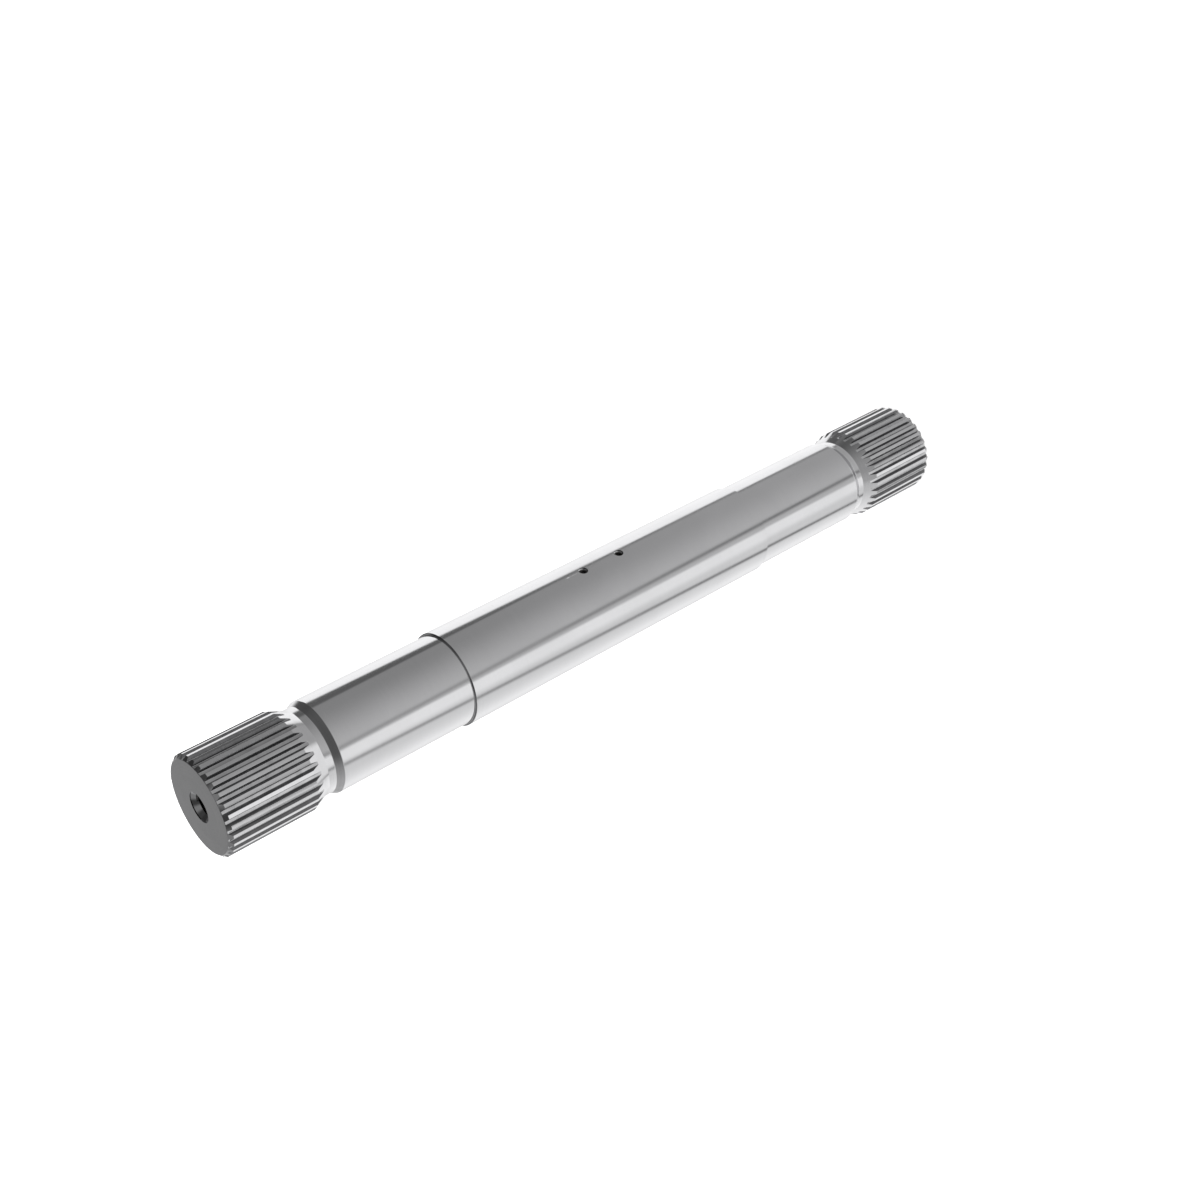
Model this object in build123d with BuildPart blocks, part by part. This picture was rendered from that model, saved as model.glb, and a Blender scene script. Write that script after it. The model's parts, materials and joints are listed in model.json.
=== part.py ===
from build123d import *
from math import acos, cos, degrees, pi, radians, tan
import os

# Rockshaft: the solid cross shaft of a tractor's rear hitch, turned from one bar.
# It stands on one end on Z = 0 with its axis on Z, and its front is towards -Y. Both ends are alike.
# From the middle outwards each half has half of the middle seat, a shoulder, a journal, a neck, and a
# splined end with a tapped centre hole. Sizes are in millimetres and degrees.

# Middle seat and its two tapped screw holes
seat_diameter = 90.0
seat_length = 366.0
seat_edge_break = 0.4
screw_drill_diameter = 6.8
screw_drill_depth = 22.0
screw_countersink_diameter = 9.2
screw_spacing = 44.0

# Journals
shoulder_height = 2.0
shoulder_fillet = 0.6
journal_length = 136.5

# Necks, where the spline cutter runs out
lead_in_length = 6.5
neck_length = 7.0
run_out_length = 15.0
neck_relief = 3.2

# Involute splines
tooth_count = 30
module = 3.0
pressure_angle = 30.0
tip_height = 1.2
root_depth = 1.9
side_clearance = 0.1
root_fillet = 0.45
spline_length = 83.0
chamfer_below_root = 0.3

# Tapped centre holes in the two ends
end_drill_diameter = 19.5
end_drill_depth = 52.0
end_countersink_diameter = 28.0

# Both kinds of hole
countersink_angle = 90.0
drill_point_angle = 118.0

# Radii
seat_radius = seat_diameter / 2
journal_radius = seat_radius - shoulder_height
pitch_radius = module * tooth_count / 2
tip_radius = pitch_radius + tip_height
root_radius = pitch_radius - root_depth
neck_radius = root_radius - neck_relief
end_chamfer = tip_height + root_depth + chamfer_below_root

# Heights of the upper half's steps
middle_height = (
    seat_length / 2 + journal_length + lead_in_length + neck_length + run_out_length + spline_length
)
shoulder_level = middle_height + seat_length / 2
journal_top = shoulder_level + journal_length
neck_bottom = journal_top + lead_in_length
neck_top = neck_bottom + neck_length
teeth_bottom = neck_top + run_out_length
overall_length = 2 * middle_height

middle_plane = Plane.XY.offset(middle_height)
end_plane = Plane.XY.offset(overall_length)
front_plane = Plane.XZ.offset(seat_radius)


def involute(angle):
    """Involute function of an angle in radians."""
    return tan(angle) - angle


def flank_point(radius):
    """Where one flank of a tooth gap centred on +X crosses a circle about the shaft's axis."""
    base_radius = pitch_radius * cos(radians(pressure_angle))
    angle_here = acos(min(1.0, base_radius / radius))
    tooth_thickness = pi * module / 2 - side_clearance
    half_tooth_at_pitch = tooth_thickness / (2 * pitch_radius)
    half_tooth_here = half_tooth_at_pitch + involute(radians(pressure_angle)) - involute(angle_here)
    return Vector(radius, 0).rotate(Axis.Z, 180 / tooth_count - degrees(half_tooth_here))


def tapped_hole(drill_diameter, drill_depth, mouth_diameter):
    """Cuts a countersunk tapping hole that ends in a drill point."""
    drill_radius = drill_diameter / 2
    point_height = drill_radius / tan(radians(drill_point_angle / 2))
    CounterSinkHole(drill_radius, mouth_diameter / 2, drill_depth, countersink_angle)
    with Locations((0, 0, -drill_depth)):
        Cone(
            drill_radius,
            0,
            point_height,
            rotation=(180, 0, 0),
            align=(Align.CENTER, Align.CENTER, Align.MIN),
            mode=Mode.SUBTRACT,
        )


# One gap between two teeth, from the root circle to just outside the tips
cutter_radius = tip_radius + tip_height
with BuildSketch() as tooth_gap:
    with BuildLine():
        flank = ThreePointArc(
            flank_point(root_radius), flank_point(pitch_radius), flank_point(cutter_radius)
        )
        other_flank = mirror(flank, about=Plane.XZ)
        ThreePointArc(flank @ 0, (root_radius, 0), other_flank @ 0)
        Line(flank @ 1, other_flank @ 1)
    make_face()
    root_corners = tooth_gap.vertices().sort_by_distance((0, 0, 0))[:2]
    fillet(root_corners, root_fillet)

with BuildPart() as rockshaft:
    # Turned blank of the upper half
    with BuildSketch(Plane.XZ):
        with BuildLine():
            Polyline(
                (0, middle_height),
                (seat_radius, middle_height),
                (seat_radius, shoulder_level),
                (journal_radius, shoulder_level),
                (journal_radius, journal_top),
                (neck_radius, neck_bottom),
                (neck_radius, neck_top),
                (tip_radius, teeth_bottom),
                (tip_radius, overall_length),
                (0, overall_length),
                close=True,
            )
        make_face()
    revolve(axis=Axis.Z)

    # Chamfered end and seat edge, and a fillet in the corner of the shoulder
    end_edge = rockshaft.faces().sort_by(Axis.Z)[-1].edges()
    chamfer(end_edge, end_chamfer)
    shoulder_edges = rockshaft.edges().filter_by_position(Axis.Z, shoulder_level, shoulder_level)
    chamfer(shoulder_edges.sort_by(SortBy.RADIUS)[-1], seat_edge_break)
    shoulder_edges = rockshaft.edges().filter_by_position(Axis.Z, shoulder_level, shoulder_level)
    fillet(shoulder_edges.sort_by(SortBy.RADIUS)[0], shoulder_fillet)

    # Splines, cut from the end until they run out over the neck, one gap in line with the screw holes
    with BuildSketch(end_plane):
        with PolarLocations(0, tooth_count, start_angle=-90):
            add(tooth_gap.sketch)
    extrude(amount=-(spline_length + run_out_length), mode=Mode.SUBTRACT)

    # Tapped centre hole
    with Locations(end_plane):
        tapped_hole(end_drill_diameter, end_drill_depth, end_countersink_diameter)

    # Lower half
    mirror(about=middle_plane)

    # Tapped screw holes in the front of the seat
    with Locations(front_plane):
        with Locations((0, middle_height - screw_spacing / 2), (0, middle_height + screw_spacing / 2)):
            tapped_hole(screw_drill_diameter, screw_drill_depth, screw_countersink_diameter)

rockshaft.part.label = "rockshaft"

os.makedirs("parts", exist_ok=True)
export_step(rockshaft.part, "parts/rockshaft.step")
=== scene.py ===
import json
from math import acos, cos, pi, radians, sin, tan

import bmesh
import bpy
from bpy.props import FloatProperty, FloatVectorProperty, IntProperty, PointerProperty
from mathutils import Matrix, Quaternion, Vector


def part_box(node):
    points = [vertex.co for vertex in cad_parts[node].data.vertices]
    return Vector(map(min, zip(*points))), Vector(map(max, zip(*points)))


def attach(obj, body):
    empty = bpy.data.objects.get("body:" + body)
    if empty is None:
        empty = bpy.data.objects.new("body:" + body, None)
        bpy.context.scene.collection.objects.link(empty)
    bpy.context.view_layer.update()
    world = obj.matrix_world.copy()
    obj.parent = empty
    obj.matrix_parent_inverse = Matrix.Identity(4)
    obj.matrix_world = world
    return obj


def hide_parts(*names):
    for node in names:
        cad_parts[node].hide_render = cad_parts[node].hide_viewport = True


bl_info = {
    "name": "Splined Rockshaft",
    "version": (1, 0, 0),
    "blender": (4, 5, 0),
    "location": "View3D > Sidebar > Rockshaft",
    "description": "Models a machined rockshaft with splined ends, and the studio that it is shown in",
    "category": "Mesh",
}

MILLIMETRES = 1000.0  # in a metre: the shaft is modelled in millimetres and ends up in metres

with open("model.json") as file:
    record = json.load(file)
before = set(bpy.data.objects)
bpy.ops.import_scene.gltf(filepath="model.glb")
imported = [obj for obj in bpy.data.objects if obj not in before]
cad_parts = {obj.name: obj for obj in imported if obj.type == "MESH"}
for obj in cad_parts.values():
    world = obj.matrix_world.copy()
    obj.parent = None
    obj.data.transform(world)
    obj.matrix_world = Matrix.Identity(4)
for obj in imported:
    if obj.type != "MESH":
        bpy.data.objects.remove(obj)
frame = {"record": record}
mounts = {mount["name"]: mount for mount in frame["record"]["mounts"]}
frame_low, frame_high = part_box("rockshaft")


def mount_size(mount_name, size_name):
    """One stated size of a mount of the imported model, in metres."""
    return mounts[mount_name]["dims"][size_name] / MILLIMETRES


def length_property(name, default, description):
    """A length for the panel, in metres."""
    return FloatProperty(name=name, description=description, default=default, unit="LENGTH")


def angle_property(name, default, description):
    """An angle for the panel."""
    return FloatProperty(name=name, description=description, default=default, subtype="ANGLE")


def colour_property(name, default, description):
    """A colour for the panel."""
    return FloatVectorProperty(
        name=name, description=description, default=default, subtype="COLOR", size=3, min=0, max=1
    )


class RockshaftSizes(bpy.types.PropertyGroup):
    """Sizes of the shaft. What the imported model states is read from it."""

    overall_length: length_property(
        "Overall Length", frame_high.z - frame_low.z, "Length from end face to end face"
    )
    seat_radius: length_property(
        "Seat Radius", mount_size("middle_seat", "r_mm"), "Radius of the middle seat"
    )
    seat_length: length_property(
        "Seat Length", mount_size("middle_seat", "length_mm"), "Length of the middle seat"
    )
    seat_edge_break: length_property(
        "Seat Edge Break", 0.0004, "Chamfer on the two edges of the middle seat"
    )
    journal_radius: length_property(
        "Journal Radius", mount_size("upper_journal", "r_mm"), "Radius of the two journals"
    )
    journal_length: length_property(
        "Journal Length", mount_size("upper_journal", "length_mm"), "Length of each journal"
    )
    shoulder_fillet: length_property(
        "Shoulder Fillet", 0.0006, "Radius in the corner where a journal meets the seat's shoulder"
    )
    lead_in_length: length_property(
        "Lead-in Length", 0.0065, "Length of the short cone from a journal down to its neck"
    )
    neck_length: length_property("Neck Length", 0.007, "Length of the straight bottom of each neck")
    neck_relief: length_property(
        "Neck Relief", 0.0032, "How far the necks lie below the floors of the tooth gaps"
    )
    neck_corner: length_property(
        "Neck Corner", 0.0004,
        "Width of the rounding that the turning tool leaves in the corners of the necks",
    )
    spline_length: length_property(
        "Spline Length", mount_size("upper_spline", "length_mm"),
        "Length of the teeth at full height, with the end chamfer",
    )
    tip_radius: length_property(
        "Tip Radius", mount_size("upper_spline", "r_mm"), "Radius over the tips of the teeth"
    )
    tooth_count: IntProperty(name="Teeth", description="Number of teeth on each end", default=30)
    tooth_module: length_property("Module", 0.003, "Pitch diameter for each tooth")
    pressure_angle: angle_property(
        "Pressure Angle", radians(30), "Slope of the flanks at the pitch circle"
    )
    root_depth: length_property("Root Depth", 0.0019, "Depth of the tooth gaps below the pitch circle")
    side_clearance: length_property(
        "Side Clearance", 0.0001, "How much thinner a tooth is than half the pitch"
    )
    root_fillet: length_property("Root Fillet", 0.00045, "Radius in the two corners of each tooth gap")
    chamfer_below_root: length_property(
        "Chamfer Below Root", 0.0003, "How far the end chamfer goes below the floors of the tooth gaps"
    )
    tooth_edge_break: length_property(
        "Tooth Edge Break", 0.00014, "Width of the rounding on the edges of the teeth"
    )
    end_drill_radius: length_property(
        "End Drill Radius", mount_size("upper_thread", "r_mm"), "Radius of the drilled hole in each end"
    )
    end_drill_depth: length_property("End Drill Depth", 0.052, "Depth of the drilled hole in each end")
    end_mouth_radius: length_property(
        "End Mouth Radius", 0.014, "Radius of the countersink of the hole in each end"
    )
    end_thread_radius: length_property(
        "End Thread Radius", 0.011, "Outer radius of the thread in each end"
    )
    end_thread_pitch: length_property("End Thread Pitch", 0.0025, "Pitch of the thread in each end")
    end_thread_depth: length_property(
        "End Thread Depth", 0.044, "Depth to which the hole in each end is tapped"
    )
    screw_drill_radius: length_property(
        "Screw Drill Radius", mount_size("screw_holes", "hole_r_mm"),
        "Radius of the two screw holes in the seat",
    )
    screw_drill_depth: length_property(
        "Screw Drill Depth", 0.022, "Depth of the two screw holes in the seat"
    )
    screw_mouth_radius: length_property(
        "Screw Mouth Radius", 0.0046, "Radius of the countersinks of the screw holes"
    )
    screw_thread_radius: length_property(
        "Screw Thread Radius", 0.004, "Outer radius of the thread in the screw holes"
    )
    screw_thread_pitch: length_property(
        "Screw Thread Pitch", 0.00125, "Pitch of the thread in the screw holes"
    )
    screw_thread_depth: length_property(
        "Screw Thread Depth", 0.018, "Depth to which the screw holes are tapped"
    )
    screw_spacing: length_property(
        "Screw Spacing", mount_size("screw_holes", "spacing_y_mm"),
        "Distance between the two screw holes",
    )
    countersink_angle: angle_property("Countersink Angle", radians(90), "Angle across every countersink")
    drill_point_angle: angle_property(
        "Drill Point Angle", radians(118), "Angle across the bottom of every drilled hole"
    )


class RockshaftFinish(bpy.types.PropertyGroup):
    """Colours of the bare steel, and the marks that the tools leave on it."""

    steel_colour: colour_property(
        "Steel", frame["record"]["materials"][0]["base_color"], "Colour of the bright steel"
    )
    # The flanks' dark colour is painted shade: the dark that falls in the tooth gaps, put into the
    # steel's colour
    flank_colour: colour_property(
        "Flanks", (0.2, 0.2, 0.205), "Colour of the tooth flanks, darkened by hardening"
    )
    # The bores' dark colour is painted shade: the dark that falls inside the holes, put into the steel's
    # colour
    bore_colour: colour_property(
        "Bores", (0.2, 0.195, 0.19), "Colour of the tapped holes, where cutting oil stays"
    )
    scratch_length: length_property(
        "Scratch Length", 0.025, "Length of the grinding scratches on the seat and journals"
    )
    scratch_spacing: length_property(
        "Scratch Spacing", 0.0016,
        "Distance between the widest grinding scratches on the seat and journals",
    )
    turning_feed: length_property(
        "Turning Feed", 0.00032,
        "Distance between the tool's grooves on the necks, cones, chamfers and tooth tips",
    )
    facing_feed: length_property(
        "Facing Feed", 0.0004, "Distance between the tool's rings on the end faces"
    )
    hob_feed: length_property(
        "Hob Feed", 0.0018, "Distance between the cutter's shallow hollows along the teeth"
    )


class RockshaftStudio(bpy.types.PropertyGroup):
    """Camera, floor and light."""

    camera_place: FloatVectorProperty(
        name="Camera Place",
        description="Where the camera stands",
        default=(-0.8999, -0.9469, 1.2847),
        subtype="TRANSLATION",
        size=3,
    )
    camera_azimuth: angle_property(
        "Camera Azimuth", radians(-43.535), "Side from which the camera looks, from the front towards +X"
    )
    camera_elevation: angle_property(
        "Camera Elevation", radians(33.191), "How steeply the camera looks down"
    )
    camera_roll: angle_property(
        "Camera Roll", radians(-117.386), "Roll of the camera about its line of sight"
    )
    camera_lens: FloatProperty(
        name="Lens",
        description="Focal length in millimetres for a sensor 36 mm wide",
        default=49.66,
        subtype="DISTANCE_CAMERA",
    )
    floor_size: length_property("Floor Size", 80.0, "Side of the square floor")
    floor_colour: colour_property(
        "Floor", (0.9, 0.9, 0.9), "Colour of the floor and of the room behind it"
    )


class ShaftLayout:
    """All of the panel's sizes, with the lengths in millimetres, and the radii and heights they give."""

    def __init__(self, sizes):
        for name in RockshaftSizes.__annotations__:
            is_length = sizes.bl_rna.properties[name].unit == "LENGTH"
            setattr(self, name, getattr(sizes, name) * (MILLIMETRES if is_length else 1))

        self.pitch_radius = self.tooth_module * self.tooth_count / 2
        self.root_radius = self.pitch_radius - self.root_depth
        self.neck_radius = self.root_radius - self.neck_relief
        self.end_radius = self.root_radius - self.chamfer_below_root

        self.middle = self.overall_length / 2
        self.shoulder_level = self.middle + self.seat_length / 2
        self.journal_end = self.shoulder_level + self.journal_length
        self.neck_start = self.journal_end + self.lead_in_length
        self.neck_end = self.neck_start + self.neck_length
        self.teeth_start = self.overall_length - self.spline_length

    def half_gap(self, radius):
        """Angle from the middle of a tooth gap to its involute flank at a radius."""
        base_radius = self.pitch_radius * cos(self.pressure_angle)
        tooth_at_pitch = pi * self.tooth_module / 2 - self.side_clearance
        half_tooth = (
            tooth_at_pitch / (2 * self.pitch_radius)
            + involute(self.pressure_angle)
            - involute(acos(base_radius / radius))
        )
        return pi / self.tooth_count - half_tooth

    def run_out_level(self, radius):
        """Height at which the cone between a neck and the tooth tips has a radius."""
        share = (radius - self.neck_radius) / (self.tip_radius - self.neck_radius)
        return self.neck_end + share * (self.teeth_start - self.neck_end)

    def chamfer_level(self, radius):
        """Height at which the 45 degree end chamfer has a radius."""
        return self.overall_length - (radius - self.end_radius)


CLOSE = 0.001  # points nearer than this are in the same row, in millimetres
SAME_PLACE = 0.002  # points nearer than this are merged, in millimetres
SUPPORT = 1.0  # width of the narrow rows beside an edge or a joint of the mesh, in millimetres
BODY_SEGMENTS = 360
FLANK_ROWS = 4
TIP_ROWS = 2
FILLET_SEGMENTS = 5
END_HOLE_SEGMENTS = 96
END_THREAD_SEGMENTS = 60
SCREW_HOLE_SEGMENTS = 48
SCREW_THREAD_SEGMENTS = 40
BESIDE = 0.1  # what lies nearer to a surface than this belongs to it, in millimetres
SIDEWAYS = 0.3  # a face whose normal points round the shaft by more than this share is a tooth's flank
SHARP_ANGLE = radians(20)  # edges of the teeth that turn more than this are broken
SMOOTH_ANGLE = radians(32)  # edges that turn more than this stay sharp in the finished surface


def involute(angle):
    """Involute function of an angle in radians."""
    return tan(angle) - angle


def from_front(radius, angle, level):
    """A point at a radius and height, turned from the front, which is -Y, towards +X."""
    return Vector((radius * sin(angle), -radius * cos(angle), level))


def clear_selection():
    """Leaves edit mode with nothing selected, so that what follows acts on its own piece alone."""
    if bpy.context.mode != "OBJECT":
        bpy.ops.object.mode_set(mode="OBJECT")
    bpy.ops.object.select_all(action="DESELECT")


def choose(*pieces):
    """Selects only these pieces, with the first one active."""
    clear_selection()
    for piece in pieces:
        piece.select_set(True)
    bpy.context.view_layer.objects.active = pieces[0]


def edit(piece):
    """Opens a piece in edit mode."""
    choose(piece)
    bpy.ops.object.mode_set(mode="EDIT")


def apply_modifier(piece, kind, **settings):
    """Adds a modifier to a piece with its settings and applies it."""
    choose(piece)
    modifier = piece.modifiers.new(kind.title(), kind)
    for setting, value in settings.items():
        setattr(modifier, setting, value)
    bpy.ops.object.modifier_apply(modifier=modifier.name)


def edited_points():
    """Places of all points of the piece in edit mode."""
    piece = bpy.context.edit_object
    mesh = bmesh.from_edit_mesh(piece.data)
    return [piece.matrix_world @ vertex.co for vertex in mesh.verts]


def select_none(kind):
    """Deselects all of the piece in edit mode, and goes on with its points, edges or faces."""
    bpy.ops.mesh.select_mode(type=kind)
    bpy.ops.mesh.select_all(action="DESELECT")


def select_points(wanted):
    """Selects the points whose place is wanted, with the edges and faces between them."""
    select_none("VERT")
    piece = bpy.context.edit_object
    mesh = bmesh.from_edit_mesh(piece.data)
    for vertex in mesh.verts:
        vertex.select = wanted(piece.matrix_world @ vertex.co)
    mesh.select_flush_mode()
    bmesh.update_edit_mesh(piece.data)


def select_faces(wanted):
    """Selects the faces whose centre and normal are wanted."""
    select_none("FACE")
    piece = bpy.context.edit_object
    mesh = bmesh.from_edit_mesh(piece.data)
    turn = piece.matrix_world.to_3x3()
    for face in mesh.faces:
        centre = piece.matrix_world @ face.calc_center_median()
        face.select = wanted(centre, (turn @ face.normal).normalized())
    bmesh.update_edit_mesh(piece.data)


def select_ring(radius, level):
    """Selects the ring of points at a radius and a height."""
    select_points(lambda place: abs(place.z - level) < CLOSE and abs(place.xy.length - radius) < CLOSE)


def radii_at(level):
    """The different radii of the points at a height."""
    row = [place for place in edited_points() if abs(place.z - level) < CLOSE]
    return sorted({round(place.xy.length, 4) for place in row})


def merge_points():
    """Merges the points of the piece in edit mode that lie in the same place."""
    bpy.ops.mesh.select_all(action="SELECT")
    bpy.ops.mesh.remove_doubles(threshold=SAME_PLACE)


def turn_faces_outwards():
    """Turns every face of the piece in edit mode outwards."""
    bpy.ops.mesh.select_all(action="SELECT")
    bpy.ops.mesh.normals_make_consistent(inside=False)


def extrude_by(step):
    """Extrudes what is selected by a step."""
    bpy.ops.mesh.extrude_region_move(TRANSFORM_OT_translate={"value": step})


def scale_ring(factor, level):
    """Scales the selected ring about the shaft's axis."""
    bpy.ops.transform.resize(value=(factor, factor, 1), center_override=(0, 0, level))


def turn_profile(stations):
    """Turns a round surface from the selected ring through stations of radius and height."""
    for (radius, level), (next_radius, next_level) in zip(stations, stations[1:]):
        extrude_by((0, 0, next_level - level))
        scale_ring(next_radius / radius, next_level)


def round_ring(radius, level, width, segments):
    """Rounds the edge or corner at a ring."""
    select_ring(radius, level)
    bpy.ops.mesh.bevel(offset=width, segments=segments, affect="EDGES", clamp_overlap=False)


def draw_line(name, places, origin):
    """Draws an open line through places as a new piece, left in edit mode."""
    clear_selection()
    bpy.ops.mesh.primitive_plane_add(size=1, location=origin)
    bpy.context.object.name = name
    bpy.ops.object.mode_set(mode="EDIT")
    bpy.ops.mesh.merge(type="CENTER")
    bpy.ops.transform.translate(value=places[0] - Vector(origin))
    for place, next_place in zip(places, places[1:]):
        extrude_by(next_place - place)
    return bpy.context.object


def draw_half_pitch(layout):
    """Draws the line from the middle of the front gap over a flank to the middle of the next tooth."""
    root, tip = layout.root_radius, layout.tip_radius
    half_pitch = pi / layout.tooth_count
    level = layout.teeth_start
    root_corner = from_front(root, layout.half_gap(root), level)
    places = [from_front(root, 0, level), root_corner]
    for row in range(1, FLANK_ROWS + 1):
        radius = root + (tip - root) * row / FLANK_ROWS
        places.append(from_front(radius, layout.half_gap(radius), level))
    tip_corner_angle = layout.half_gap(tip)
    for row in range(1, TIP_ROWS + 1):
        angle = tip_corner_angle + (half_pitch - tip_corner_angle) * row / TIP_ROWS
        places.append(from_front(tip, angle, level))
    piece = draw_line("splined_end", places, (0, 0, layout.middle))

    # Fillet between the gap's floor and its flank
    corner_turn = (places[2] - places[1]).angle(places[1] - places[0])
    select_points(lambda place: (place - root_corner).length < CLOSE)
    bpy.ops.mesh.bevel(
        offset=layout.root_fillet * tan(corner_turn / 2), segments=FILLET_SEGMENTS, affect="VERTICES"
    )
    return piece


def reach_cone(level, cone_level):
    """Slides the points of a row along their teeth until they lie on a cone."""
    for radius in radii_at(level):
        select_ring(radius, level)
        bpy.ops.transform.translate(value=(0, 0, cone_level(radius) - level))


def run_down_cone(cone_level, level, radius):
    """Extrudes the row that lies on a cone down the cone to the ring at its foot."""
    select_points(lambda place: abs(place.z - cone_level(place.xy.length)) < CLOSE)
    extrude_by((0, 0, 0))
    bpy.ops.transform.resize(value=(1, 1, 0), center_override=(0, 0, level))
    for row_radius in radii_at(level):
        select_ring(row_radius, level)
        scale_ring(radius / row_radius, level)
    select_ring(radius, level)


def model_splined_end(layout):
    """Models half a pitch of the upper splined end, and copies it round the shaft."""
    piece = draw_half_pitch(layout)
    bpy.ops.mesh.select_all(action="SELECT")
    extrude_by((0, 0, layout.overall_length - layout.teeth_start))
    reach_cone(layout.teeth_start, layout.run_out_level)
    reach_cone(layout.overall_length, layout.chamfer_level)

    # Down the end chamfer and a little way over the end face, and down the run-out into the neck
    run_down_cone(layout.chamfer_level, layout.overall_length, layout.end_radius)
    extrude_by((0, 0, 0))
    scale_ring((layout.end_radius - SUPPORT) / layout.end_radius, layout.overall_length)
    run_down_cone(layout.run_out_level, layout.neck_end, layout.neck_radius)
    extrude_by((0, 0, -SUPPORT))

    # The other half of the pitch, then all pitches
    apply_modifier(piece, "MIRROR", use_axis=(True, False, False), merge_threshold=SAME_PLACE)
    edit(piece)
    bpy.ops.mesh.select_all(action="SELECT")
    pitch_angle = 2 * pi / layout.tooth_count
    copies = layout.tooth_count - 1
    bpy.ops.mesh.spin(
        steps=copies, angle=copies * pitch_angle, dupli=True, center=(0, 0, 0), axis=(0, 0, 1)
    )
    merge_points()
    turn_faces_outwards()

    # Broken edges
    select_none("EDGE")
    bpy.ops.mesh.edges_select_sharp(sharpness=SHARP_ANGLE)
    bpy.ops.mesh.bevel(
        offset=layout.tooth_edge_break, segments=2, affect="EDGES", clamp_overlap=False
    )

    # End face
    select_ring(layout.end_radius - SUPPORT, layout.overall_length)
    bpy.ops.mesh.edge_face_add()
    return piece


def model_half_body(layout):
    """Turns the upper half of the shaft's body from its neck down to its middle."""
    clear_selection()
    neck_joint = layout.neck_start + SUPPORT
    bpy.ops.mesh.primitive_circle_add(
        vertices=BODY_SEGMENTS, radius=layout.neck_radius, location=(0, 0, neck_joint)
    )
    piece = bpy.context.object
    bpy.ops.object.mode_set(mode="EDIT")
    bpy.ops.mesh.select_all(action="SELECT")
    turn_profile([
        (layout.neck_radius, neck_joint),
        (layout.neck_radius, layout.neck_start),
        (layout.journal_radius, layout.journal_end),
        (layout.journal_radius, layout.shoulder_level),
        (layout.seat_radius, layout.shoulder_level),
        (layout.seat_radius, layout.middle + layout.screw_spacing),
        (layout.seat_radius, layout.middle),
    ])
    round_ring(layout.neck_radius, layout.neck_start, layout.neck_corner, 3)
    round_ring(layout.journal_radius, layout.journal_end, layout.neck_corner, 3)
    round_ring(layout.seat_radius, layout.shoulder_level, layout.seat_edge_break, 1)
    round_ring(layout.journal_radius, layout.shoulder_level, layout.shoulder_fillet, 4)
    return piece


def hole_places(layout):
    """Places and turns of the end holes and of the screw holes. Their cutters are made mouth up."""
    half_spacing = layout.screw_spacing / 2
    ends = [((0, 0, layout.overall_length), 0), ((0, 0, 0), pi)]
    levels = (layout.middle - half_spacing, layout.middle + half_spacing)
    screws = [((0, -layout.seat_radius, level), pi / 2) for level in levels]
    return ends, screws


def hole_sizes(layout, hole, *names):
    """Some sizes of the end holes or of the screw holes."""
    return [getattr(layout, f"{hole}_{name}") for name in names]


def make_drill(layout, hole, segments):
    """A closed cutter in the shape of a countersunk drilled hole, with its mouth at the origin."""
    drill_radius, depth, mouth_radius = hole_sizes(
        layout, hole, "drill_radius", "drill_depth", "mouth_radius"
    )
    clear_selection()
    bpy.ops.mesh.primitive_circle_add(
        vertices=segments, radius=mouth_radius, fill_type="NGON", location=(0, 0, SUPPORT)
    )
    bpy.ops.object.mode_set(mode="EDIT")
    bpy.ops.mesh.select_all(action="SELECT")
    countersink_depth = (mouth_radius - drill_radius) / tan(layout.countersink_angle / 2)
    point_height = drill_radius / tan(layout.drill_point_angle / 2)
    turn_profile([
        (mouth_radius, SUPPORT),
        (mouth_radius, 0),
        (drill_radius, -countersink_depth),
        (drill_radius, -depth),
    ])
    extrude_by((0, 0, -point_height))
    bpy.ops.mesh.merge(type="CENTER")
    turn_faces_outwards()
    bpy.ops.object.mode_set(mode="OBJECT")
    return bpy.context.object


def make_tap(layout, hole, segments):
    """A closed cutter in the shape of a threaded rod that reaches down from the origin into its hole."""
    drill_radius, depth = hole_sizes(layout, hole, "drill_radius", "thread_depth")
    thread_radius, pitch = hole_sizes(layout, hole, "thread_radius", "thread_pitch")

    # Metric thread, with 60 degrees between its flanks and a flat of an eighth of the pitch outside
    flank_slope = tan(radians(30))
    sharp_height = pitch * cos(radians(30))
    pitch_line = thread_radius - sharp_height * 3 / 8
    groove_half = pitch / 16

    # The core is thinner than the drilled hole, so only the thread cuts
    core_radius = drill_radius - pitch / 10
    core_half = pitch / 4 + (pitch_line - core_radius) * flank_slope
    bottom = -depth - pitch
    turns = int((depth + SUPPORT) / pitch) + 3
    tap = draw_line("tap", [
        Vector((core_radius, 0, bottom - pitch / 2)),
        Vector((core_radius, 0, bottom - core_half)),
        Vector((thread_radius, 0, bottom - groove_half)),
        Vector((thread_radius, 0, bottom + groove_half)),
        Vector((core_radius, 0, bottom + core_half)),
        Vector((core_radius, 0, bottom + pitch / 2)),
    ], (0, 0, 0))
    apply_modifier(
        tap, "SCREW", axis="Z", angle=2 * pi, screw_offset=pitch, iterations=turns,
        steps=segments, render_steps=segments,
    )
    edit(tap)
    merge_points()
    for level, side in ((-depth, -1), (SUPPORT / 2, 1)):
        bpy.ops.mesh.select_all(action="SELECT")
        bpy.ops.mesh.bisect(
            plane_co=(0, 0, level), plane_no=(0, 0, side), use_fill=True, clear_outer=True
        )
    turn_faces_outwards()
    bpy.ops.object.mode_set(mode="OBJECT")
    return tap


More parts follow.
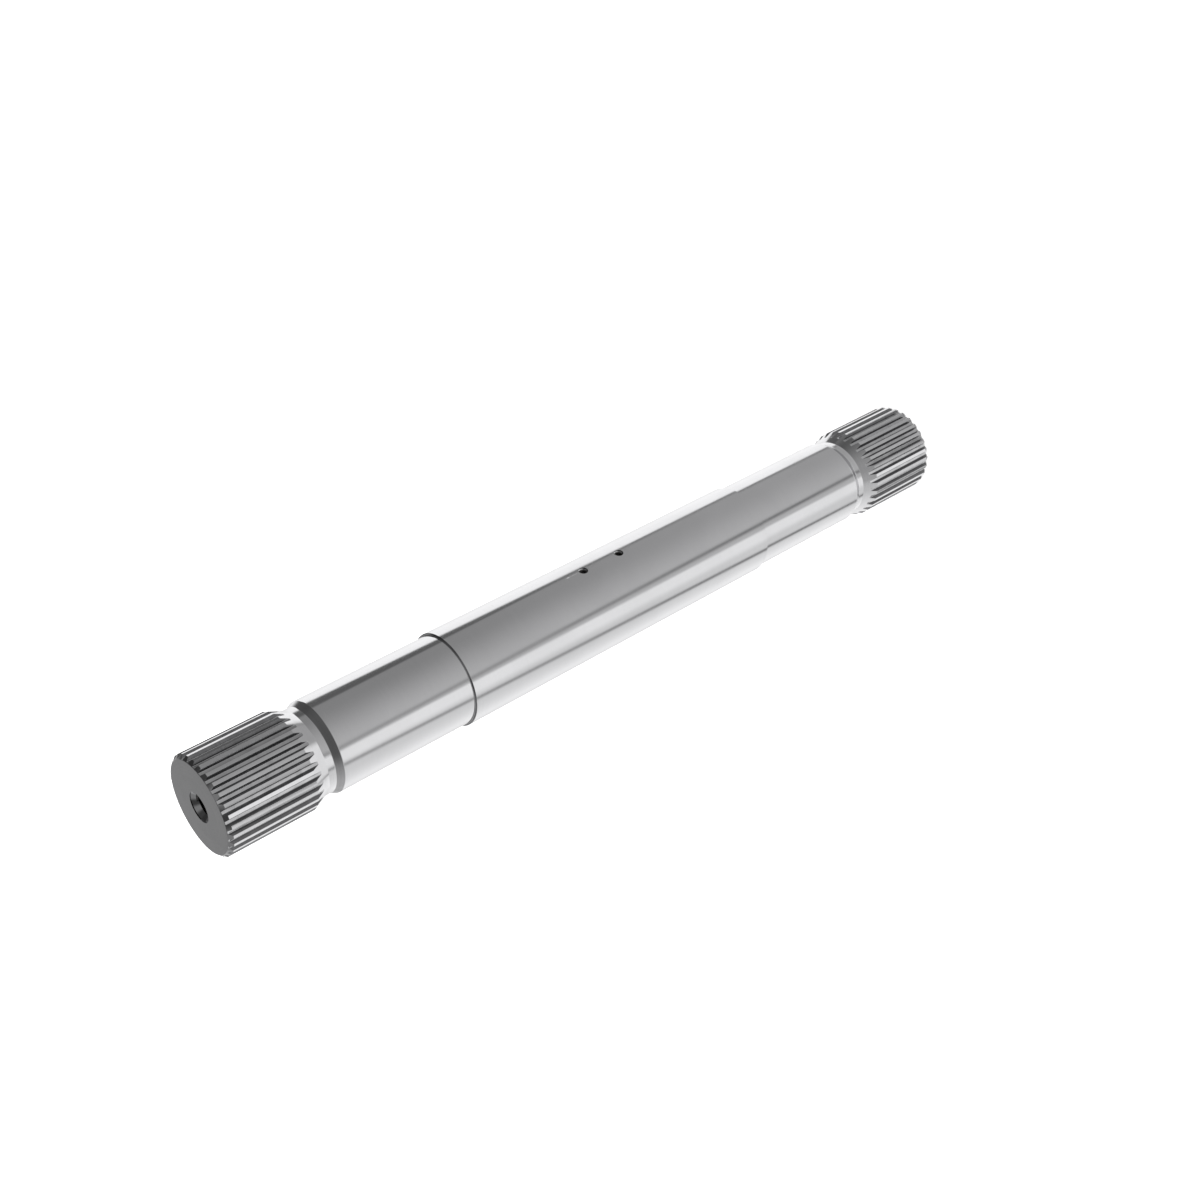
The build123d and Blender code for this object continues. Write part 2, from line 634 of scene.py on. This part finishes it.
def cut(piece, cutters):
    """Cuts a list of cutters, each with its places, out of a piece."""
    placed = []
    for cutter, places in cutters:
        for place, turn in places:
            choose(cutter)
            bpy.ops.object.duplicate()
            copy = bpy.context.object
            copy.location = place
            copy.rotation_euler = (turn, 0, 0)
            placed.append(copy)
        bpy.data.objects.remove(cutter)
    choose(*placed)
    bpy.ops.object.join()
    tool = bpy.context.object
    choose(piece)
    apply_modifier(piece, "BOOLEAN", operation="DIFFERENCE", solver="EXACT", object=tool)
    bpy.data.objects.remove(tool)


def check_closed(piece):
    """Raises an error if the piece has an open or stray edge."""
    edit(piece)
    select_none("EDGE")
    bpy.ops.mesh.select_non_manifold()
    bpy.ops.object.mode_set(mode="OBJECT")
    open_edges = sum(edge.select for edge in piece.data.edges)
    if open_edges:
        raise RuntimeError(f"the shaft's surface has {open_edges} open edges")


class ROCKSHAFT_OT_make_shaft(bpy.types.Operator):
    """Model the machined shaft"""

    bl_idname = "rockshaft.make_shaft"
    bl_label = "Make Shaft"
    bl_options = {"REGISTER", "UNDO"}

    def execute(self, context):
        layout = ShaftLayout(context.scene.rockshaft_sizes)

        # Upper half, joined at the neck
        splined_end = model_splined_end(layout)
        body = model_half_body(layout)
        choose(splined_end, body)
        bpy.ops.object.join()
        shaft = bpy.context.object
        edit(shaft)
        joint_levels = (layout.neck_start + SUPPORT, layout.neck_end - SUPPORT)
        select_points(lambda place: min(abs(place.z - level) for level in joint_levels) < CLOSE)
        bpy.ops.mesh.bridge_edge_loops()
        turn_faces_outwards()

        # Lower half
        apply_modifier(shaft, "MIRROR", use_axis=(False, False, True), merge_threshold=SAME_PLACE)

        # Drilled and tapped holes
        end_places, screw_places = hole_places(layout)
        cut(shaft, [
            (make_drill(layout, "end", END_HOLE_SEGMENTS), end_places),
            (make_drill(layout, "screw", SCREW_HOLE_SEGMENTS), screw_places),
        ])
        cut(shaft, [
            (make_tap(layout, "end", END_THREAD_SEGMENTS), end_places),
            (make_tap(layout, "screw", SCREW_THREAD_SEGMENTS), screw_places),
        ])

        # Slivers that the cuts leave
        edit(shaft)
        merge_points()

        # A finish of its own for each zone
        dress_shaft(shaft, layout, context.scene.rockshaft_finish)

        # To metres, with the object at the origin
        choose(shaft)
        shaft.name = "machined_shaft"
        shaft.location = shaft.location / MILLIMETRES
        shaft.scale = (1 / MILLIMETRES,) * 3
        bpy.ops.object.transform_apply(location=True, rotation=True, scale=True)
        bpy.ops.object.shade_smooth_by_angle(angle=SMOOTH_ANGLE)
        apply_modifier(shaft, "WEIGHTED_NORMAL", keep_sharp=True)
        check_closed(shaft)

        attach(shaft, "root")
        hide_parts("rockshaft")
        return {"FINISHED"}


class Nodes:
    """Adds and links the nodes of one tree."""

    def __init__(self, tree):
        self.tree = tree

    def node(self, kind, inputs=(), **settings):
        """Adds a node, sets it up and feeds its inputs."""
        node = self.tree.nodes.new(kind)
        for setting, value in settings.items():
            setattr(node, setting, value)
        for name, value in dict(inputs).items():
            self.feed(node.inputs[name], value)
        return node

    def add(self, kind, inputs=(), output=0, **settings):
        """Adds a node and gives one of its outputs."""
        return self.node(kind, inputs, **settings).outputs[output]

    def feed(self, socket, value):
        """Links an output to an input, or sets the input to a number or a colour."""
        if isinstance(value, bpy.types.NodeSocket):
            self.tree.links.new(value, socket)
        else:
            socket.default_value = value

    def math(self, operation, *values):
        """A sum, product or function of numbers."""
        return self.add("ShaderNodeMath", enumerate(values), operation=operation)

    def ramp(self, value, low, high, at_low=0.0, at_high=1.0):
        """Goes smoothly from one number to another as a value goes from low to high."""
        inputs = {"Value": value, "From Min": low, "From Max": high, "To Min": at_low, "To Max": at_high}
        return self.add("ShaderNodeMapRange", inputs, interpolation_type="SMOOTHSTEP")

    def blend(self, share, first, second):
        """Mixes two numbers."""
        return self.add("ShaderNodeMix", {0: share, 2: first, 3: second}, data_type="FLOAT")

    def tint(self, share, first, second):
        """Mixes two colours."""
        return self.add("ShaderNodeMix", {0: share, 6: first, 7: second}, output=2, data_type="RGBA")

    def noise(self, place, scale, detail=2.0):
        """Soft noise from 0 to 1, with about a given number of patches in a metre."""
        inputs = {"Vector": place, "Scale": scale, "Detail": detail}
        return self.add("ShaderNodeTexNoise", inputs, output="Fac")


def start_group(name, inputs, outputs):
    """A new node group with named sockets: its nodes, what it is given and what it gives."""
    tree = bpy.data.node_groups.new(name, "ShaderNodeTree")
    for in_out, sockets in (("INPUT", inputs), ("OUTPUT", outputs)):
        for socket_name, kind in sockets.items():
            tree.interface.new_socket(name=socket_name, in_out=in_out, socket_type=f"NodeSocket{kind}")
    nodes = Nodes(tree)
    return nodes, nodes.node("NodeGroupInput").outputs, nodes.node("NodeGroupOutput").inputs


def shaft_place_group():
    """Distance from the shaft's axis, and height, in millimetres."""
    nodes, given, result = start_group(
        "shaft_place", {"Place": "Vector"}, {"Radius": "Float", "Height": "Float"}
    )
    across = nodes.add("ShaderNodeVectorMath", {0: given["Place"], 1: (1, 1, 0)}, operation="MULTIPLY")
    radius = nodes.add("ShaderNodeVectorMath", {0: across}, output="Value", operation="LENGTH")
    height = nodes.add("ShaderNodeSeparateXYZ", {0: given["Place"]}, output="Z")
    nodes.feed(result["Radius"], nodes.math("MULTIPLY", radius, MILLIMETRES))
    nodes.feed(result["Height"], nodes.math("MULTIPLY", height, MILLIMETRES))
    return nodes.tree


def tool_marks_group():
    """Grooves that a tool leaves at its feed, as a height, and as a shade for each groove."""
    nodes, given, result = start_group(
        "tool_marks",
        {"Place": "Vector", "Along Feed": "Float", "Feed": "Float", "Wander": "Float"},
        {"Height": "Float", "Shade": "Float"},
    )
    wander = nodes.math("MULTIPLY", nodes.noise(given["Place"], 90), given["Wander"])
    turn = nodes.math("ADD", nodes.math("DIVIDE", given["Along Feed"], given["Feed"]), wander)
    off_middle = nodes.math("SUBTRACT", nodes.math("FRACT", turn), 0.5)
    hollow = nodes.math("MULTIPLY", nodes.math("MULTIPLY", off_middle, off_middle), 4)
    shade = nodes.add("ShaderNodeTexWhiteNoise", {"W": nodes.math("FLOOR", turn)}, noise_dimensions="1D")
    nodes.feed(result["Height"], nodes.math("ADD", hollow, nodes.math("MULTIPLY", shade, 0.6)))
    nodes.feed(result["Shade"], shade)
    return nodes.tree


def scratches_group():
    """Scratches round the shaft, as a shade that changes slowly round it and fast along it."""
    nodes, given, result = start_group(
        "scratches", {"Place": "Vector", "Length": "Float", "Spacing": "Float"}, {"Shade": "Float"}
    )
    across = nodes.math("DIVIDE", 1, given["Length"])
    along = nodes.math("DIVIDE", 1, given["Spacing"])
    stretch = nodes.add("ShaderNodeCombineXYZ", {"X": across, "Y": across, "Z": along})
    place = nodes.add("ShaderNodeVectorMath", {0: given["Place"], 1: stretch}, operation="MULTIPLY")
    inputs = {"Vector": place, "Scale": 1, "Detail": 5, "Roughness": 0.7}
    nodes.feed(result["Shade"], nodes.add("ShaderNodeTexNoise", inputs, output="Fac"))
    return nodes.tree


def handling_group():
    """Faint cloudy smudges, and small spots, that handling leaves on bare steel."""
    nodes, given, result = start_group(
        "handling", {"Place": "Vector", "Size": "Float"}, {"Smudge": "Float", "Spots": "Float"}
    )
    coarse = nodes.math("DIVIDE", 1, given["Size"])
    cloud = nodes.add(
        "ShaderNodeTexNoise",
        {"Vector": given["Place"], "Scale": coarse, "Detail": 4, "Distortion": 0.6},
        output="Fac",
    )
    fine = nodes.noise(given["Place"], nodes.math("MULTIPLY", coarse, 14), 3)
    nodes.feed(result["Smudge"], nodes.ramp(cloud, 0.4, 0.7))
    nodes.feed(result["Spots"], nodes.ramp(fine, 0.62, 0.74))
    return nodes.tree


class SteelShop:
    """The node groups that the shaft's materials share."""

    def __init__(self):
        self.shaft_place = shaft_place_group()
        self.tool_marks = tool_marks_group()
        self.scratches = scratches_group()
        self.handling = handling_group()


class Steel(Nodes):
    """One of the shaft's materials, made from the shared node groups with values of its own."""

    def __init__(self, shop, name):
        self.shop = shop
        self.material = bpy.data.materials.new(name)
        self.material.use_nodes = True
        super().__init__(self.material.node_tree)
        self.point = self.add("ShaderNodeTexCoord", output="Object")

    def group(self, tree, inputs=()):
        """Places a shared node group, which is given the point on the piece and its other inputs."""
        inputs = {"Place": self.point, **dict(inputs)}
        return self.node("ShaderNodeGroup", inputs, node_tree=tree).outputs

    def place(self):
        """Radius and height of the point on the shaft, in millimetres."""
        return self.group(self.shop.shaft_place)

    def marks(self, along, feed, wander):
        """Height and shade of tool marks across a distance in millimetres, at a feed in metres."""
        inputs = {"Along Feed": along, "Feed": feed * MILLIMETRES, "Wander": wander}
        return self.group(self.shop.tool_marks, inputs)

    def grinding(self, length, spacing):
        """Shade of grinding scratches of a length and a spacing in metres."""
        return self.group(self.shop.scratches, {"Length": length, "Spacing": spacing})["Shade"]

    def smudges(self, size):
        """Smudges about as large as a size in metres, and spots."""
        return self.group(self.shop.handling, {"Size": size})

    def shades(self, share, colour, dark, light):
        """A colour that goes from a darker shade to a lighter one."""
        return self.tint(share, shaded(colour, dark), shaded(colour, light))

    def soiled(self, colour, smudge, share, soil):
        """A colour with a share of the smudges' colour over it."""
        return self.tint(self.math("MULTIPLY", smudge, share), colour, soil)

    def finished(self, colour, roughness, height, depth):
        """Feeds the shader and gives the material. The depth of its marks is in metres."""
        shader = self.material.node_tree.nodes["Principled BSDF"]
        shader.inputs["Metallic"].default_value = 1
        self.feed(shader.inputs["Base Color"], colour)
        self.feed(shader.inputs["Roughness"], roughness)
        bump = self.add("ShaderNodeBump", {"Strength": 1, "Distance": depth, "Height": height})
        self.feed(shader.inputs["Normal"], bump)
        return self.material


def shaded(colour, factor):
    """A colour made lighter or darker, with full alpha."""
    return (*(min(channel * factor, 1) for channel in colour), 1)


def ground_steel(shop, finish):
    """Ground seat and journals: the smoothest finish, with fine scratches round the shaft."""
    steel = Steel(shop, "ground_steel")
    scratches = steel.grinding(finish.scratch_length, finish.scratch_spacing)
    handling = steel.smudges(size=0.07)
    colour = steel.shades(scratches, finish.steel_colour, 0.95, 1.03)
    colour = steel.soiled(colour, handling["Smudge"], 0.5, shaded(finish.steel_colour, 0.94))
    roughness = steel.blend(handling["Smudge"], 0.1, 0.135)
    roughness = steel.math("ADD", roughness, steel.math("MULTIPLY", handling["Spots"], 0.03))
    roughness = steel.math("ADD", roughness, steel.math("MULTIPLY", scratches, 0.02))
    return steel.finished(colour, roughness, height=scratches, depth=1e-6)


def turned_steel(shop, finish):
    """Turned necks, cones, chamfers, countersinks and tooth tips, with the tool's fine grooves."""
    steel = Steel(shop, "turned_steel")
    marks = steel.marks(along=steel.place()["Height"], feed=finish.turning_feed, wander=0.4)
    smudge = steel.smudges(size=0.03)["Smudge"]
    colour = steel.shades(marks["Shade"], finish.steel_colour, 0.97, 1.03)
    colour = steel.soiled(colour, smudge, 0.6, shaded(finish.steel_colour, 0.93))
    roughness = steel.blend(smudge, 0.11, 0.15)
    return steel.finished(colour, roughness, marks["Height"], depth=1e-6)


def faced_steel(shop, finish):
    """Faced ends, with the tool's rings about the centre hole."""
    steel = Steel(shop, "faced_steel")
    marks = steel.marks(along=steel.place()["Radius"], feed=finish.facing_feed, wander=0.3)
    smudge = steel.smudges(size=0.03)["Smudge"]
    colour = steel.shades(marks["Shade"], finish.steel_colour, 0.72, 0.78)
    colour = steel.soiled(colour, smudge, 0.5, shaded(finish.steel_colour, 0.68))
    roughness = steel.blend(smudge, 0.12, 0.16)
    return steel.finished(colour, roughness, marks["Height"], depth=1.5e-6)


def cut_spline_steel(shop, finish, layout):
    """Hobbed tooth gaps, with the hob's shallow hollows. Painted shade: the floors a little darker than
    the steel, the flanks much darker.
    """
    steel = Steel(shop, "cut_spline_steel")
    place = steel.place()
    marks = steel.marks(along=place["Height"], feed=finish.hob_feed, wander=0.1)
    smudge = steel.smudges(size=0.02)["Smudge"]
    # Painted shade in the tooth gaps: floors a little darker than the steel, flanks much darker
    flank_start, flank_full = layout.root_radius + 0.1, layout.root_radius + 0.6
    flank = steel.ramp(place["Radius"], flank_start, flank_full)
    floor_colour = steel.shades(marks["Shade"], finish.steel_colour, 0.84, 0.9)
    flank_colour = steel.shades(marks["Shade"], finish.flank_colour, 0.9, 1.1)
    colour = steel.tint(flank, floor_colour, flank_colour)
    colour = steel.soiled(colour, smudge, 0.3, shaded(finish.flank_colour, 0.8))
    roughness = steel.blend(flank, 0.13, 0.2)
    roughness = steel.math("ADD", roughness, steel.math("MULTIPLY", smudge, 0.05))
    return steel.finished(colour, roughness, marks["Height"], depth=3e-6)


def tapped_bore_steel(shop, finish):
    """Drilled and tapped holes, darkened with painted shade."""
    steel = Steel(shop, "tapped_bore_steel")
    marks = steel.marks(along=steel.place()["Height"], feed=finish.turning_feed, wander=0.5)
    smudge = steel.smudges(size=0.008)["Smudge"]
    # Painted shade: the colour inside the holes is dark
    colour = steel.shades(marks["Shade"], finish.bore_colour, 0.85, 1.1)
    colour = steel.tint(smudge, colour, shaded(finish.bore_colour, 0.6))
    roughness = steel.blend(smudge, 0.3, 0.2)
    return steel.finished(colour, roughness, marks["Height"], depth=2e-6)


def dress_shaft(shaft, layout, finish):
    """Gives each zone of the shaft its own finish. The whole shaft starts out ground."""
    shop = SteelShop()
    zones = [
        (ground_steel(shop, finish), None),
        (turned_steel(shop, finish), lambda centre, normal: is_turned(layout, centre)),
        (cut_spline_steel(shop, finish, layout), lambda centre, normal: is_cut(layout, centre, normal)),
        (faced_steel(shop, finish), lambda centre, normal: is_faced(layout, centre, normal)),
        (tapped_bore_steel(shop, finish), lambda centre, normal: is_tapped(layout, centre, normal)),
    ]
    edit(shaft)
    for index, (material, belongs) in enumerate(zones):
        bpy.ops.object.material_slot_add()
        shaft.material_slots[index].material = material
        if belongs:
            select_faces(belongs)
            shaft.active_material_index = index
            bpy.ops.object.material_slot_assign()
    clear_selection()


def is_turned(layout, centre):
    """True for what lies beyond the journals, and for the walls of the holes."""
    off_middle = abs(centre.z - layout.middle)
    in_seat = off_middle < layout.shoulder_level - layout.middle
    hollow = in_seat and centre.xy.length < layout.seat_radius - BESIDE
    return off_middle > layout.journal_end - layout.middle or hollow


def is_cut(layout, centre, normal):
    """True for the floors and flanks of the tooth gaps."""
    off_middle = abs(centre.z - layout.middle)
    radius = centre.xy.length
    sideways = abs(normal.x * centre.y - normal.y * centre.x) / max(radius, CLOSE)
    flank = sideways > SIDEWAYS and radius > layout.root_radius - CLOSE
    floor = abs(normal.z) < CLOSE and abs(radius - layout.root_radius) < BESIDE
    return off_middle > layout.neck_end - layout.middle and (flank or floor)


def is_faced(layout, centre, normal):
    """True for the two end faces."""
    return abs(abs(centre.z - layout.middle) - layout.middle) < CLOSE and abs(normal.z) > 1 - CLOSE


def is_tapped(layout, centre, normal):
    """True for the drilled and tapped walls of the four holes, inside their countersinks."""
    in_end = abs(centre.z - layout.middle) > layout.shoulder_level - layout.middle
    end_bore = centre.xy.length < layout.end_thread_radius + BESIDE
    off_holes = abs(abs(centre.z - layout.middle) - layout.screw_spacing / 2)
    screw_bore = Vector((centre.x, off_holes)).length < layout.screw_thread_radius + BESIDE / 2
    inside = centre.xy.length < layout.seat_radius - BESIDE
    return (in_end and end_bore and not is_faced(layout, centre, normal)) or (inside and screw_bore)


FLOOR_GAP = 0.0001  # metres between the floor and the shaft's foot, so that the two don't flicker
LIGHT_HEIGHT = 5  # metres
LIGHT_TURN = (radians(12), radians(-10), 0)
LIGHT_SPREAD = radians(60)
LIGHT_STRENGTH = 6  # watts on a square metre
SENSOR_WIDTH = 36  # millimetres
SIGHT = (0.05, 200)  # nearest and farthest distance that the camera sees, in metres


class ROCKSHAFT_OT_make_stage(bpy.types.Operator):
    """Set up the floor, the light and the camera"""

    bl_idname = "rockshaft.make_stage"
    bl_label = "Make Stage"
    bl_options = {"REGISTER", "UNDO"}

    def execute(self, context):
        studio = context.scene.rockshaft_studio
        clear_selection()
        bpy.ops.mesh.primitive_plane_add(size=studio.floor_size, location=(0, 0, -FLOOR_GAP))
        floor = context.object
        floor.name = "floor"
        floor.data.materials.append(floor_paint(studio))

        bpy.ops.object.light_add(type="SUN", location=(0, 0, LIGHT_HEIGHT), rotation=LIGHT_TURN)
        overhead = context.object
        overhead.name = "overhead_light"
        overhead.data.angle = LIGHT_SPREAD
        overhead.data.energy = LIGHT_STRENGTH

        # The steel mirrors the painted room instead of these two
        floor.visible_glossy = False
        overhead.visible_glossy = False

        light_room(context.scene)
        set_camera(context.scene, studio)
        context.scene.view_settings.view_transform = "Standard"
        return {"FINISHED"}


def floor_paint(studio):
    """Plain matt floor."""
    material = bpy.data.materials.new("pale_floor")
    material.use_nodes = True
    shader = material.node_tree.nodes["Principled BSDF"]
    shader.inputs["Base Color"].default_value = (*studio.floor_colour, 1)
    shader.inputs["Roughness"].default_value = 1
    shader.inputs["Specular IOR Level"].default_value = 0
    return material


class StudioRoom:
    """The room round the shaft, as strengths of light by azimuth and elevation in degrees.

    Azimuth 0 is the right of the room, towards +X, and 90 is its back, towards +Y.
    """

    def __init__(self, nodes):
        self.nodes = nodes
        ray = nodes.add("ShaderNodeTexCoord", output="Generated")
        along = nodes.node("ShaderNodeSeparateXYZ", {0: ray}).outputs
        self.azimuth = nodes.math("DEGREES", nodes.math("ARCTAN2", along["Y"], along["X"]))
        self.elevation = nodes.math("DEGREES", nodes.math("ARCSINE", along["Z"]))

    def across(self, start, end, at_start=0.0, at_end=1.0):
        """Changes smoothly from one value to another across the room."""
        return self.nodes.ramp(self.azimuth, start, end, at_start, at_end)

    def up(self, start, end, at_start=0.0, at_end=1.0):
        """Changes smoothly from one value to another up the room."""
        return self.nodes.ramp(self.elevation, start, end, at_start, at_end)

    def strip(self, paint, middle, half_width, softness, new_paint, lean=0.0):
        """Paints an upright strip. One that leans has its middle where it is seen 30 degrees down."""
        nodes = self.nodes
        leaning = nodes.math("MULTIPLY", nodes.math("ADD", self.elevation, 30), lean)
        offset = nodes.math("SUBTRACT", nodes.math("SUBTRACT", self.azimuth, middle), leaning)
        distance = nodes.math("ABSOLUTE", nodes.math("WRAP", offset, 180, -180))
        outer = nodes.math("ADD", half_width, softness)
        inner = nodes.math("SUBTRACT", half_width, softness)
        return nodes.blend(nodes.ramp(distance, outer, inner), paint, new_paint)

    def corner(self, walls, upper, lower, **place):
        """Paints a dark corner of the walls, which changes from an upper to a lower shade."""
        return self.strip(walls, new_paint=self.up(-25, -42, upper, lower), **place)

    def walls(self):
        """White walls, brightest at the right, and a grey one in front. Three corners are dark."""
        white = self.across(148, 90, 0.94, 1.23)
        white = self.nodes.blend(self.across(90, 56), white, 0.82)
        white = self.nodes.blend(self.across(45, 0), white, 1.36)
        white = self.strip(white, middle=180, half_width=15, softness=9, new_paint=1.2)

        grey = self.nodes.blend(self.across(-60, -168), self.up(-25, -42, 0.34, 0.49), 0.68)
        walls = self.strip(white, middle=-100.5, half_width=66.5, softness=3, new_paint=grey)

        width = self.up(-36, -16, 3.5, 16)
        walls = self.corner(walls, 0.15, 0.28, middle=-34, half_width=width, softness=3, lean=0.3)
        walls = self.corner(walls, 0.42, 0.18, middle=-156, half_width=3.5, softness=4.5, lean=-0.6)
        return self.corner(walls, 0.32, 0.07, middle=149.5, half_width=3.2, softness=5.5, lean=1.3)

    def floor(self):
        """White floor, grey at the front right."""
        return self.strip(1.15, middle=-58, half_width=62, softness=14, new_paint=0.5)

    def ceiling(self):
        """Grey ceiling, lighter at the back and at the left."""
        low_left = self.across(-50, -145, 0.1, 0.42)
        low = self.strip(low_left, middle=110, half_width=88, softness=14, new_paint=0.54)
        high = self.strip(0.12, middle=-15, half_width=25, softness=12, new_paint=0.04)
        high = self.strip(high, middle=95, half_width=75, softness=20, new_paint=0.27)
        ceiling = self.nodes.blend(self.up(6, 26), low, high)
        overhead = self.strip(0.06, middle=-130, half_width=45, softness=25, new_paint=0.26)
        return self.nodes.blend(self.up(40, 55), ceiling, overhead)

    def above_walls(self):
        """Share of the ceiling, which comes down lower over the grey wall and at the back."""
        edge = self.strip(-4, middle=-75, half_width=45, softness=10, new_paint=-9)
        edge = self.strip(edge, middle=68, half_width=20, softness=10, new_paint=-14)
        return self.nodes.ramp(self.nodes.math("SUBTRACT", self.elevation, edge), -5, 5)


def light_room(scene):
    """Soft studio room that lights the shaft and shows in its bright steel."""
    world = bpy.data.worlds.new("studio_room")
    scene.world = world
    world.use_nodes = True
    nodes = Nodes(world.node_tree)
    room = StudioRoom(nodes)
    light = nodes.blend(room.up(-48, -60), room.walls(), room.floor())
    light = nodes.blend(room.above_walls(), light, room.ceiling())

    # The camera itself sees a plain pale room
    seen = nodes.add("ShaderNodeLightPath", output="Is Camera Ray")
    light = nodes.blend(seen, light, 1.0)
    background = world.node_tree.nodes["Background"].inputs
    nodes.feed(background["Strength"], light)
    background["Color"].default_value = (1, 1, 1, 1)


def set_camera(scene, studio):
    """Puts the camera at the photograph's viewing angle."""
    clear_selection()
    bpy.ops.object.camera_add(location=studio.camera_place)
    camera = bpy.context.object
    azimuth, elevation = studio.camera_azimuth, studio.camera_elevation
    back = Vector((sin(azimuth) * cos(elevation), -cos(azimuth) * cos(elevation), sin(elevation)))
    aim = (-back).to_track_quat("-Z", "Y")
    camera.rotation_mode = "QUATERNION"
    camera.rotation_quaternion = aim @ Quaternion((0, 0, 1), studio.camera_roll)
    camera.data.sensor_width = SENSOR_WIDTH
    camera.data.lens = studio.camera_lens
    camera.data.clip_start, camera.data.clip_end = SIGHT
    scene.camera = camera


class ROCKSHAFT_PT_panel(bpy.types.Panel):
    """Rockshaft tools"""

    bl_idname = "ROCKSHAFT_PT_panel"
    bl_label = "Rockshaft"
    bl_space_type = "VIEW_3D"
    bl_region_type = "UI"
    bl_category = "Rockshaft"

    def draw(self, context):
        layout = self.layout
        layout.operator("rockshaft.make_shaft")
        layout.operator("rockshaft.make_stage")


CLASSES = (
    RockshaftSizes,
    RockshaftFinish,
    RockshaftStudio,
    ROCKSHAFT_OT_make_shaft,
    ROCKSHAFT_OT_make_stage,
    ROCKSHAFT_PT_panel,
)


def register():
    for made_class in CLASSES:
        bpy.utils.register_class(made_class)
    bpy.types.Scene.rockshaft_sizes = PointerProperty(type=RockshaftSizes)
    bpy.types.Scene.rockshaft_finish = PointerProperty(type=RockshaftFinish)
    bpy.types.Scene.rockshaft_studio = PointerProperty(type=RockshaftStudio)


def unregister():
    del bpy.types.Scene.rockshaft_studio
    del bpy.types.Scene.rockshaft_finish
    del bpy.types.Scene.rockshaft_sizes
    for made_class in reversed(CLASSES):
        bpy.utils.unregister_class(made_class)


def main():
    """Makes the whole scene."""
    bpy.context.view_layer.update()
    register()
    bpy.ops.rockshaft.make_shaft()
    bpy.ops.rockshaft.make_stage()


if __name__ == "__main__":
    main()
